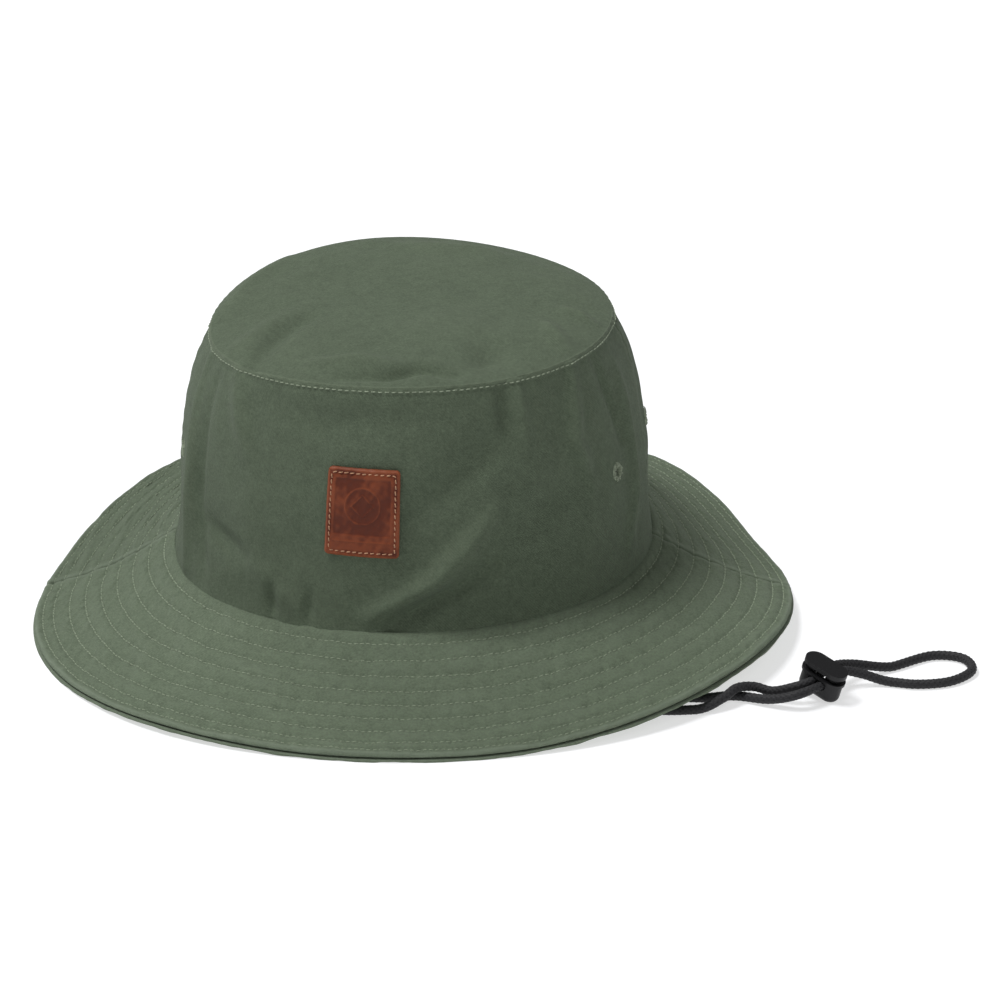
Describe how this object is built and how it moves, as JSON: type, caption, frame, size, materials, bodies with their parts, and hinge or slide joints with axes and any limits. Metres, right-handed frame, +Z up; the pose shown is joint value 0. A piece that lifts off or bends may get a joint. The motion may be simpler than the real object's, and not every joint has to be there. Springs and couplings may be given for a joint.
{
  "type": "bucket hat",
  "caption": "Soft bucket hat with a stitched, stiffened wide brim, sewn eyelets, a blank leather patch and a chin cord with a sliding cord lock.",
  "frame": {"origin": "centre of the hat's plan outline, on the floor it stands on; the chin cord and its lock are not counted", "axes": "+Z up through the tip of the crown, -Y the hat's front with the leather patch, +X the side on the right of someone facing the front, which is the wearer's left"},
  "size_m": [0.3681, 0.2894, 0.1262],
  "materials": {
    "brim_cotton": "matte mottled twill",
    "crown_cotton": "matte mottled twill",
    "seam_tape": "matte twill tape",
    "sweatband_cotton": "matte cotton twill",
    "brim_stiffener": "non-woven interlining",
    "green_thread": "matt polyester thread",
    "patch_leather": "embossed, satin",
    "patch_thread": "matt polyester thread",
    "label_satin": "smooth satin tape",
    "black_cord": "braided polyester",
    "black_plastic": "fine satin",
    "spring_steel": "drawn wire"
  },
  "bodies": {
    "hat": {"crown_tip": "brim_cotton", "crown_wall_front": "crown_cotton", "crown_wall_back": "crown_cotton", "tip_seam_tape": "seam_tape", "side_seam_tape_left": "seam_tape", "side_seam_tape_right": "seam_tape", "sweatband": "sweatband_cotton", "brim_top_front": "brim_cotton", "brim_top_back": "brim_cotton", "brim_stiffener_front": "brim_stiffener", "brim_stiffener_back": "brim_stiffener", "brim_under_front": "brim_cotton", "brim_under_back": "brim_cotton", "crown_topstitch": "green_thread", "leather_patch": "patch_leather", "patch_stitching": "patch_thread", "eyelet_right_front": "green_thread", "eyelet_right_back": "green_thread", "eyelet_left_front": "green_thread", "eyelet_left_back": "green_thread", "cord_tab_left": "seam_tape", "cord_tab_right": "seam_tape", "care_label": "label_satin", "chin_cord": "black_cord", "brim_stitch_row_1": "green_thread", "brim_stitch_row_2": "green_thread", "brim_stitch_row_3": "green_thread", "brim_stitch_row_4": "green_thread", "brim_stitch_row_5": "green_thread", "brim_stitch_row_6": "green_thread", "brim_stitch_row_7": "green_thread", "brim_stitch_row_8": "green_thread", "brim_stitch_row_9": "green_thread"},
    "cord_lock": {"cord_lock_body": "black_plastic", "cord_lock_spring": "spring_steel"},
    "lock_button": {"cord_lock_plunger": "black_plastic"}
  },
  "joints": [
    {"name": "cord_lock_slide", "type": "slide", "parent": "hat", "child": "cord_lock", "axis": [0.4695, 0.8829, 0], "range_m": [0, 0.006]},
    {"name": "lock_button_press", "type": "slide", "parent": "cord_lock", "child": "lock_button", "axis": [-0.2728, 0.1451, -0.9511], "range_m": [0, 0.0018], "stiffness_N_per_m": 1000, "deforming": ["cord_lock_spring"]}
  ]
}
